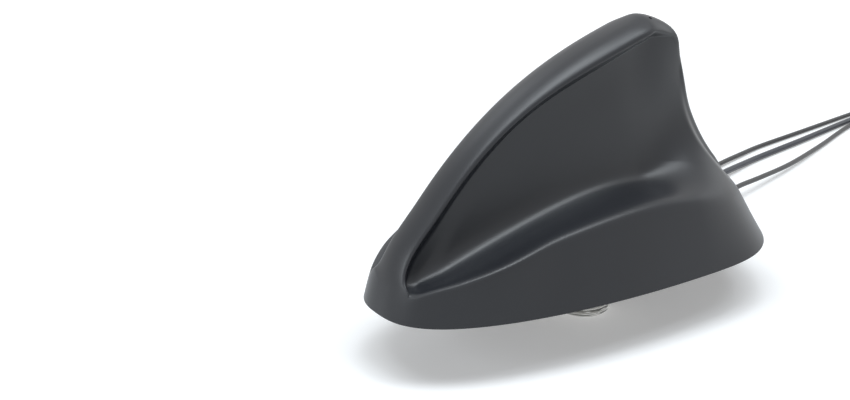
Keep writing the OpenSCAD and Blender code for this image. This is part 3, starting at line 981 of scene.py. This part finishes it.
    def below(self, x: Array, z: Array) -> Array:
        """Depth under the spine, square to it."""
        return (self.crest_z(x) - z) * self.crest_cos(x)

    def under(self, x: Array) -> Array:
        """Depth at which the hollow under the band has run out into the fin's side."""
        return self.lip_depth.at(x) + self.hollow

    def side(self, x: Array, z: Array, ahead: Array) -> Array:
        """Half width of the fin's side, which thickens downwards and thins towards the rear edge.

        Args:
            x: Length from the middle of the cover.
            z: Height above the rim.
            ahead: Distance ahead of the rear edge.

        Returns:
            Half width at each point.
        """
        high = step(x, *self.high_start)
        low = ease((self.crest_z(x) - z) / self.side_low_depth)
        half = self.band_half - self.band_step + self.side_high * high + self.side_low * low
        thin = self.side_thin[0] - self.side_thin[1] * step(z, *self.side_thin_height)
        return half * (1 - thin * ease(1 - ahead / self.side_thin_length))

    def band(self, x: Array, z: Array, ahead: Array) -> Array:
        """Half width of the band, which flares at the nose's foot and narrows ahead of the rear edge.

        Args:
            x: Length from the middle of the cover.
            z: Height above the rim.
            ahead: Distance ahead of the rear edge.

        Returns:
            Half width at each point.
        """
        flare = self.flare * np.exp(-np.maximum(0, z - self.flare_height) / self.flare_fall)
        half = self.band_half + flare + self.band_high * step(x, *self.high_start)
        return half * (1 - self.band_thin * ease(1 - ahead / self.band_thin_length))

    def fin(self, x: Array, z: Array) -> Array:
        """Half width of the fin: its side, and the raised band along the spine, arched and with rounded
        edges.

        The arch is the band's half width times a root of the depth's share of the crown's fall. The band
        steps in to the side over the hollow under its lip. The side merges with the band towards the tip, and
        everything is rounded off at the rear edge by a power curve.

        Args:
            x: Length from the middle of the cover.
            z: Height above the rim.

        Returns:
            Half width at each point.
        """
        below = self.below(x, z)
        ahead = self.tail_x(z) - x
        side, band, fall = self.side(x, z, ahead), self.band(x, z, ahead), self.crown_fall.at(x)
        side = side + (band - side) * self.merge * step(x, *self.merge_length) * step(z, *self.merge_height)
        power = self.arch_power[0] + self.arch_power[1] * step(x, *self.high_start)
        arch = band * (np.maximum(0, below) / fall) ** (1 / power)
        on_band = ease((self.under(x) - below) / (self.under(x) - fall - self.hollow_gap))
        on_band = on_band * ease(ahead / self.band_end)
        edge = (1 - (1 - clamp(ahead / self.edge_round)) ** self.edge_power) ** (1 / self.edge_power)
        return np.maximum(0, soft_min(arch, side + (band - side) * on_band, self.lip_soft)) * edge

    def half(self, x: Array, z: Array) -> Array:
        """Half width of the whole form: the lesser of the skirt and of the fin on its shelf, softly joined.

        Args:
            x: Length from the middle of the cover.
            z: Height above the rim.

        Returns:
            Half width at each point.
        """
        top = self.top(x)
        foot = self.shoulder_z(x)
        wide = self.skirt(x, foot)
        sharp = ease((top - z) / self.soft_depth)
        steepest = np.maximum(self.least_slope, (top - foot) / np.maximum(1, wide))
        slope = soft_min(self.shelf_slope.at(x), steepest, self.least_slope)
        upper = soft_max(wide + (foot - z) / slope, self.fin(x, z), self.valley_soft * sharp)
        body = soft_min(self.skirt(x, z), upper, self.shoulder_soft.at(x) * sharp)
        return np.maximum(self.least_half * (top - z), body)

    def dished(self, x: Array, y: Array, z: Array) -> Array:
        """Height after the shelf is dished towards the foot of the fin.

        The drop is the dish's depth times its shares over the length, a step below the band's lip, a step
        from the skirt inwards, and a step that falls off above the shoulder.

        Args:
            x: Length from the middle of the cover.
            y: Half width at the point.
            z: Height above the rim.

        Returns:
            The lowered height.
        """
        drop = self.dish_depth
        for share in self.dish_shares:
            drop = drop * share.at(x)
        foot = self.shoulder_z(x)
        inward = 1 - clamp(y / np.maximum(1, self.skirt(x, foot)))
        off_band = ease((self.below(x, z) - self.lip_depth.at(x)) / self.dish_start)
        fade = ease(1 - clamp((z - foot) / self.dish_height))
        return z - drop * off_band * ease(self.dish_inward * inward) * fade

    def moved_in(self, x: Array) -> Array:
        """Length on the inside that lies behind a length on the outside."""
        return x - self.wall * (2 * step(x, *self.wall_shift) - 1)

    def thinned(self, y: Array) -> Array:
        """Half width of the inside for a half width of the outside."""
        return np.where(y > 2 * self.wall, y - self.wall, y * y / (4 * self.wall))

    def place(self, x: Array, y: Array, z: Array) -> Array:
        """Points in the object's frame, in millimetres."""
        return np.stack([x + self.mid_x, y, z + self.rim_z], -1)


@dataclass
class Cover:
    """The one-piece moulded cover.

    Levels are the heights of a section's points. Those near the shoulder are given as (rise, steps), where
    the rise is shortened at the two ends of the cover, and steps is how many points follow before the next
    level.
    """

    form: CoverForm
    stations: int = 330
    gather: float = 0.93
    inner_levels: int = 46
    inner_gaps: Pair = (0.3, 3.0)
    inner_end: float = 71.3
    shoulder_levels: tuple[tuple[float, int], ...] = (
        (-3.0, 5), (-1.2, 4), (-0.4, 4), (0.1, 4), (0.6, 4), (1.2, 4), (2.1, 5), (3.6, 5), (6.0, 4), (8.0, 9))
    band_steps: int = 4
    # Where the cover is lower than full_height above the shoulder, gaps between levels shrink with it.
    full_height: float = 20.0
    shoulder_share: float = 0.75
    foot_gap: float = 9.0
    foot_early: float = 0.12
    last_gap: float = 8.0
    foot_at_tip: Pair = (24, 12)
    tip_start: Pair = (8, 6)
    tip_end: Pair = (26, 8)

    def marks(self, x: Array, top: Array) -> list[tuple[Array, int]]:
        """Heights that each section's points go through, and how many points follow each.

        From the shoulder's levels the points go on to the foot of the hollow under the band, and then through
        depths under the spine. Near the tip these follow the spine, and elsewhere the stretch up to the top.

        Args:
            x: Length of each station.
            top: Height of the outline at each station.

        Returns:
            For each mark, its height at every station and its number of points.
        """
        form = self.form
        shoulder = soft_min(form.shoulder_z(x), self.shoulder_share * top, 1.0)
        shrink = np.minimum(1, (top - shoulder) / self.full_height)
        cosine, deep, sag = form.crest_cos(x), form.under(x), form.crown_fall.at(x)
        under_tip = top - self.last_gap * step(x, *self.foot_at_tip) * shrink
        foot = np.minimum(form.crest_z(x) - deep / cosine, under_tip)
        foot = np.maximum(shoulder + self.foot_gap * shrink, foot)
        marks = [(0 * shoulder, 5), (shoulder * 0.5, 5)]
        marks += [(shoulder + rise * shrink, steps) for rise, steps in self.shoulder_levels]
        marks += [(foot - self.foot_early * (foot - shoulder - self.last_gap * shrink), 3), (foot, 6)]
        crest, near_tip = form.crest_z(x), step(x, *self.tip_start) * (1 - step(x, *self.tip_end))
        depths = [deep - 0.8, (deep + sag + 1.2) / 2, sag + 1.2, sag + 0.5]
        depths += [sag, 0.6 * sag, 0.3 * sag, 0.1 * sag]
        for depth in depths:
            share = 1 - depth / deep
            along_spine = crest - depth / cosine - (crest - top) * share * share
            straight = foot + (top - foot) * share
            marks.append((along_spine * near_tip + straight * (1 - near_tip), self.band_steps))
        return marks + [(top, 1)]

    def levels(self, x: Array, top: Array) -> Array:
        """Heights of the points of each section, close together where the form turns.

        Args:
            x: Length of each station.
            top: Height of the outline at each station.

        Returns:
            An array of stations by levels, from 0 to the top.
        """
        marks = self.marks(x, top)
        rows = []
        for (low, steps), (up, _) in zip(marks[:-1], marks[1:]):
            t = np.arange(steps)[None] / steps
            rows.append(low[:, None] * (1 - t) + up[:, None] * t)
        return np.hstack(rows + [top[:, None]])

    def halves(self, x: Array, z: Array) -> tuple[Array, Array]:
        """Length and half width at every point of the sections, which are closed at the spine.

        Args:
            x: Length of each station.
            z: Heights, stations by levels.

        Returns:
            Lengths and half widths, both of them stations by levels.
        """
        x = np.repeat(x[:, None], z.shape[1], 1)
        y = self.form.half(x, z)
        y[:, -1] = 0.0
        return x, y

    def both_sides(self, x: Array, y: Array, z: Array) -> Array:
        """Points of the sections from the near edge over the spine to the far edge."""
        near, far = self.form.place(x, -y, z), self.form.place(x, y, z)
        return np.hstack([near, far[:, -2::-1]])

    def outside(self, count: int) -> Array:
        """Sections of the outside, along the outline, closer together towards its two ends.

        Args:
            count: How many stations.

        Returns:
            Points, stations by points by 3.
        """
        form = self.form
        share = np.linspace(0, 1, count + 2)[1:-1]
        x, top = form.at_run(form.run[-1] * (share - self.gather * np.sin(2 * np.pi * share) / (2 * np.pi)))
        z = self.levels(x, top)
        x, y = self.halves(x, z)
        return self.both_sides(x, y, form.dished(x, y, z))

    def inside(self, count: int) -> Array:
        """Sections of the inside, a wall's thickness in, on coarser levels.

        Args:
            count: How many stations.

        Returns:
            Points, stations by points by 3.
        """
        form = self.form
        start = np.interp(form.wall, form.outline[:CURVE_STEPS, 1], form.run[:CURVE_STEPS])
        run = np.linspace(start + self.inner_gaps[0], form.run[-1] - self.inner_gaps[1], count)
        x, top = form.at_run(run)
        z = form.wall + (top[:, None] - form.wall) * np.linspace(0, 1, self.inner_levels)[None]
        x, y = self.halves(x, z)
        height = form.dished(x, y, z) - form.wall
        height[:, 0] = 0.0
        return self.both_sides(form.moved_in(x), form.thinned(y), height)

    def make(self) -> Object:
        """Makes the closed shell, outside, inside and lower edge, in place of the CAD solid.

        Returns:
            The shell.
        """
        skin = Skin()
        out = skin.grid(self.outside(self.stations))
        inner = skin.grid(self.inside(self.stations))
        long = self.form.half_length
        ends = skin.add_points(np.array([self.form.place(x, 0.0, 0.0)
                                         for x in (-long, long, -self.inner_end, self.inner_end)]))
        for number, ring in enumerate((out[0], out[-1], inner[0], inner[-1])):
            skin.fan(ends + number, ring)
        for column in (0, -1):
            outer_edge = np.concatenate([[ends], out[:, column], [ends + 1]])
            inner_edge = np.concatenate([[ends + 2], inner[:, column], [ends + 3]])
            skin.join(np.stack([outer_edge, inner_edge], 1))
        piece = skin.build("cover_shell", sharp_degrees=78.0)
        dress(piece, Finish.COVER)
        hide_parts("cover")
        return piece


# Stud, plugs and vent

@dataclass
class Stud:
    """The hollow threaded stud: a six-sided head, a thread cut into its outside, and a slot from its free
    end.
    """

    radius: float = 9.0
    bore: float = 6.0
    free_end: float = -17.5
    slot_top: float = -8.2
    slot_half: float = 3.8
    pitch: float = 1.5
    depth: float = 0.55
    crest_flat: float = 1.25
    thread_top: float = 0.4
    run_out: float = 1.2
    chamfer: float = 1.0
    neck: Pair = (-13.1, -7.9)
    neck_depth: float = 0.5
    neck_step: float = 0.4
    head_foot: float = 5.0
    flats: float = 22.0
    # The head's section: height above its underside, and the radius that its six corners are turned down to.
    head_line: tuple[Pair, ...] = (
        (0.0, 12.5), (0.25, 13.0), (1.3, 13.0), (1.65, 12.3), (2.0, 11.2), (2.0, 6.3), (1.8, 6.0), (0.0, 6.0))
    head_sides: int = 144
    columns: int = 145
    rows: tuple[int, int] = (63, 90)

    def outer(self, angle: Array, z: Array) -> Array:
        """Outside radius: a saw of one pitch for each turn, run out at the top, with chamfer and neck.

        Args:
            angle: Angle round the axis.
            z: Height.

        Returns:
            The radius.
        """
        turn = z / self.pitch - angle / (2 * np.pi)
        ridge = np.abs(2 * (turn - np.floor(turn)) - 1)
        cut = self.depth * clamp(self.crest_flat * (1 - ridge)) * ease((self.thread_top - z) / self.run_out)
        chamfer = np.maximum(0, self.chamfer - (z - self.free_end))
        in_neck = step(z, self.neck[0], self.neck_step) * step(z, self.neck[1], -self.neck_step)
        threaded = np.minimum(self.radius - cut, self.radius - chamfer)
        return threaded * (1 - in_neck) + (self.radius - self.neck_depth) * in_neck

    def tube(self, skin: Skin, low: float, high: float, rows: int, half: float) -> None:
        """Adds a threaded tube between two heights.

        Args:
            skin: The mesh it is added to.
            low: The lower height.
            high: The upper height.
            rows: How many rows of points it has.
            half: Half width of its gap towards +x, or 0 for a closed tube.
        """
        z = np.linspace(low, high, rows)[:, None]
        share = np.linspace(0, 1, self.columns)[None]
        sides = []
        for inside in (False, True):
            start = math.asin(half / (self.bore if inside else self.radius))
            angle = start + (2 * np.pi - 2 * start) * share + 0 * z
            r = np.full_like(angle, self.bore) if inside else self.outer(angle, z)
            sides.append(skin.grid(polar(r, angle, z)))
        for row in (0, -1):
            skin.join(np.stack([sides[0][row], sides[1][row]], 1))
        for column in (0, -1) if half else ():
            skin.join(np.stack([sides[0][:, column], sides[1][:, column]], 1))

    def hexagon(self, skin: Skin) -> None:
        """Adds the six-sided head with turned corners and its bore.

        Args:
            skin: The mesh it is added to.
        """
        angle = around(self.head_sides)[None]
        corner = self.flats / 2 / np.cos((angle + np.pi / 6) % (np.pi / 3) - np.pi / 6)
        z, limit = np.array(self.head_line).T[:, :, None]
        z = z + self.head_foot
        index = skin.grid(polar(np.minimum(corner, limit), angle, z), wrap=True)
        skin.join(np.vstack([index[-1:], index[:1]]), wrap=True)

    def make(self) -> Object:
        """Makes the stud in place of its CAD solid.

        Returns:
            The stud.
        """
        skin = Skin()
        self.tube(skin, self.free_end, self.slot_top, self.rows[0], self.slot_half)
        self.tube(skin, self.slot_top, self.head_foot, self.rows[1], 0.0)
        self.hexagon(skin)
        piece = skin.build("stud_threaded", sharp_degrees=40.0)
        dress(piece, Finish.STEEL)
        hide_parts("stud")
        return piece


@dataclass
class Plug:
    """A plug's housing at the end of a cable: rounded square body, groove, latch, rails, ribbed sleeve,
    socket.
    """

    cable: Cable
    length: float = 19.0
    half: float = 4.5
    step_in: float = 0.3
    groove: Pair = (5.0, 6.45)
    groove_slope: float = 0.25
    socket: float = 3.3
    socket_depth: float = 12.0
    sleeve: float = 5.0
    sleeve_radius: float = 2.2
    sleeve_end: float = 0.4
    ribs: int = 5
    rib_radius: float = 2.55
    rib_pitch: float = 0.95
    bevel: float = 0.18
    sides: int = 48

    def section(self, x: float, half: float, corner: float = 0.0) -> Array:
        """Points of a section at a distance along the plug: round, or square with corners of a superellipse.

        Args:
            x: Distance along the plug.
            half: Radius, or half the width over the flats.
            corner: Radius of the corners, or 0 for a round section.

        Returns:
            Points, sides by 3.
        """
        c, s = np.cos(around(self.sides)), np.sin(around(self.sides))
        if corner:
            power = 2.0 * half / corner
            half = half * (1 / (np.abs(c) ** power + np.abs(s) ** power) ** (1 / power))
        return np.stack([np.full_like(c, x), half * c, half * s], -1)

    def body(self, skin: Skin, place: Array) -> None:
        """Adds the sleeve, the body and the socket as one closed skin.

        A row is a distance along the plug, a radius or half width, and for a square section its corner's
        radius.

        Args:
            skin: The mesh it is added to.
            place: The plug's matrix.
        """
        hole, h, long, groove = self.cable.diameter / 2, self.half, self.length, self.groove
        small, slope, corner = h - self.step_in, self.groove_slope, 1.2
        rows = [(-self.sleeve_end, hole), (-self.sleeve, hole)]
        for i in range(self.ribs):
            x = -self.sleeve + 0.15 + i * self.rib_pitch
            rows += [(x, self.sleeve_radius), (x + 0.12, self.rib_radius), (x + 0.6, self.rib_radius),
                     (x + 0.72, self.sleeve_radius)]
        rows += [(0.0, 2.3), (0.0, h - 0.9, 1.6), (0.25, small, 1.4), (0.7, h, corner),
                 (groove[0], h, corner), (groove[0] + slope, small, corner),
                 (groove[1] - slope, small, corner), (groove[1], h, corner),
                 (long - 0.5, h, corner), (long - 0.12, h - 0.15, corner), (long, h - 0.5, corner),
                 (long, self.socket + 0.35), (long - 0.3, self.socket),
                 (long - self.socket_depth, self.socket)]
        points = np.stack([self.section(*row) for row in rows])
        index = skin.grid(moved(points, place), wrap=True)
        for row, x in ((0, -self.sleeve_end), (-1, long - self.socket_depth)):
            skin.cap(index[row], moved(np.array([x, 0.0, 0.0]), place))

    def bar(self, skin: Skin, place: Array, low: Triple, high: Triple, ramp: float = 0.0) -> None:
        """Adds a bar with bevelled edges.

        Args:
            skin: The mesh it is added to.
            place: The plug's matrix.
            low: One corner, in the plug's own frame.
            high: The opposite corner.
            ramp: How far its top falls towards the front.
        """
        (x0, y0, z0), (x1, y1, z1) = low, high
        bevel = self.bevel
        rows = []
        for x, inset in ((x0, bevel), (x0 + bevel, 0.0), (x1 - bevel, 0.0), (x1, bevel)):
            top = z1 - ramp * (x - x0) / (x1 - x0)
            y_low, y_high = y0 + inset, y1 - inset
            rows.append([(x, y_low, z0), (x, y_low, top - bevel - inset), (x, y_low + bevel, top - inset),
                         (x, y_high - bevel, top - inset), (x, y_high, top - bevel - inset), (x, y_high, z0)])
        points = moved(np.array(rows), place)
        index = skin.grid(points, wrap=True)
        for row in (0, -1):
            skin.cap(index[row], points[row].mean(0))

    def make(self) -> Object:
        """Makes the plug in place of its CAD solid: the body, the latch with its stop, and two rails.

        Returns:
            The plug's housing.
        """
        a = math.radians(self.cable.heading())
        along, across = (math.cos(a), math.sin(a), 0.0), (-math.sin(a), math.cos(a), 0.0)
        place = axes_matrix(along, across, (0.0, 0.0, 1.0), self.cable.route[-1])
        skin = Skin()
        half = self.half
        self.body(skin, place)
        self.bar(skin, place, (3.0, -1.6, half - 0.3), (14.0, 1.6, half + 1.2), 0.5)
        self.bar(skin, place, (3.0, -2.3, half - 0.3), (4.4, 2.3, half + 1.2))
        for y in (-3.0, 3.0):
            self.bar(skin, place, (8.0, y - 0.5, half - 0.2), (18.4, y + 0.5, half + 0.35))
        node = self.cable.name.replace("cable", "plug")
        piece = skin.build(f"{node}_housing", sharp_degrees=30.0)
        dress(piece, Finish.HOUSING)
        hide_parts(node)
        return piece


@dataclass
class Vent:
    """The small vent hole on the spine near the tip, drawn as a disc with a low round rim whose near-black
    colour is painted shade standing in for the hole's inside.
    """

    x: float = 22.4
    side: float = 3.4
    radius: float = 0.45
    rim: float = 0.12
    sunk: float = 0.3
    search: Pair = (4.0, 0.01)
    samples: int = 400

    def height(self, form: CoverForm, x: float, y: float) -> float:
        """Height of the spine's crown at a length and a distance from the middle.

        Args:
            form: The cover's form.
            x: Length.
            y: Distance from the middle.

        Returns:
            The height.
        """
        low, high = (form.top(x) - depth for depth in self.search)
        z = np.linspace(low, high, self.samples)
        return float(np.interp(-y, -form.half(np.full_like(z, x), z), z))

    def make(self, form: CoverForm) -> Object:
        """Makes the disc of painted shade, square to the crown and just proud of it, as part of the cover.

        The crown's two slopes come from differences of height over 1 mm.

        Args:
            form: The cover's form.

        Returns:
            The disc.
        """
        x, y, r = self.x, self.side, self.radius
        along = np.array([1.0, 0.0, self.height(form, x + 0.5, y) - self.height(form, x - 0.5, y)])
        across = np.array([0.0, 1.0, self.height(form, x, y - 0.5) - self.height(form, x, y + 0.5)])
        up = np.cross(along, across) / np.linalg.norm(np.cross(along, across))
        along = along / np.linalg.norm(along)
        centre = form.place(np.array(x), np.array(-y), np.array(self.height(form, x, y)))
        line = [(0.0, 0.02), (0.7 * r, 0.03), (r, 0.05), (r + self.rim / 2, 0.04), (r + self.rim, -self.sunk),
                (0.0, -self.sunk)]
        skin = Skin()
        turned(skin, line, 32, axes_matrix(along, np.cross(up, along), up, centre))
        piece = skin.build("vent_hole", sharp_degrees=60.0)
        dress(piece, Finish.VENT)
        return piece


# Putting it together

NODE_FINISH = {
    Finish.RUBBER: ("cover_seal", "base_seal", "stud_ring"),
    Finish.CAST: ("base_plate",),
    Finish.STEEL: ("clamp_washer", "board_screws", "cover_screws"),
    Finish.NUT: ("clamp_nut",),
    Finish.GROMMET: ("cable_grommet",),
    Finish.BOARD: ("main_board", "fin_board"),
    Finish.TIN: ("shield_can", "patch_electrode", "patch_pin"),
    Finish.CERAMIC: ("patch_ceramic",),
    Finish.HOUSING: ("fin_holder",),
    Finish.BRASS: ("fin_contacts", "top_load", "phone_element", "plug_contacts"),
    Finish.COPPER: ("loading_coil",),
}


def report(piece: Object) -> Object:
    """Logs a piece's name, finish and number of faces, and hands it back.

    Args:
        piece: The piece.

    Returns:
        The same piece.
    """
    finishes = ", ".join(place.material.name for place in piece.material_slots)
    log.info("%s: %s, %d faces", piece.name, finishes, len(piece.data.polygons))
    return piece


def main() -> None:
    """Builds the scene in order and reports each piece."""
    logging.basicConfig(level=logging.INFO, format="%(message)s")
    Camera().make()
    tubes = {cable.name: report(cable.make()) for cable in CABLES}
    Studio().make()
    form = CoverForm()
    report(Cover(form).make())
    report(Vent().make(form))
    report(Stud().make())
    plugs = {cable.name: report(Plug(cable).make()) for cable in CABLES}
    for finish, nodes in NODE_FINISH.items():
        for node in nodes:
            report(dress_node(node, finish))
    for cable in CABLES:
        ends = [plugs[cable.name]]
        if cable.name == "cable_gps":
            ends.append(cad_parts["plug_contacts"])
        cable.declare(tubes[cable.name], ends)


if __name__ == "__main__":
    main()
